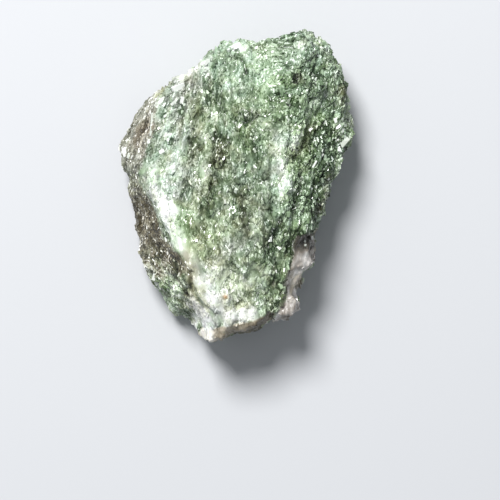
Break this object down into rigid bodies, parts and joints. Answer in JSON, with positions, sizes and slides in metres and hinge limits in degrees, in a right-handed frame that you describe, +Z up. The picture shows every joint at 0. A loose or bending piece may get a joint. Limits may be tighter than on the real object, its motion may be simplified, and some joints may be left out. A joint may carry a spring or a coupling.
{
  "type": "raw chrome diopside",
  "caption": "Rough lump of granular green rock, broken flat underneath so that it lies still, with a pinkish ledge along one side.",
  "frame": {"origin": "on the flat break that the stone rests on, under the middle of its bounding box", "axes": "+Z up out of the broad granular face, +Y along the stone towards its knobbed end, +X across it from the brown weathered side to the dark green side"},
  "size_m": [0.0208, 0.0276, 0.0106],
  "materials": {
    "green_rock": "satin",
    "pale_crystal": "satin",
    "dark_crystal": "gloss",
    "brown_crust": "matte",
    "pink_matrix": "satin"
  },
  "bodies": {
    "root": {"diopside_stone": "green_rock"}
  },
  "joints": []
}
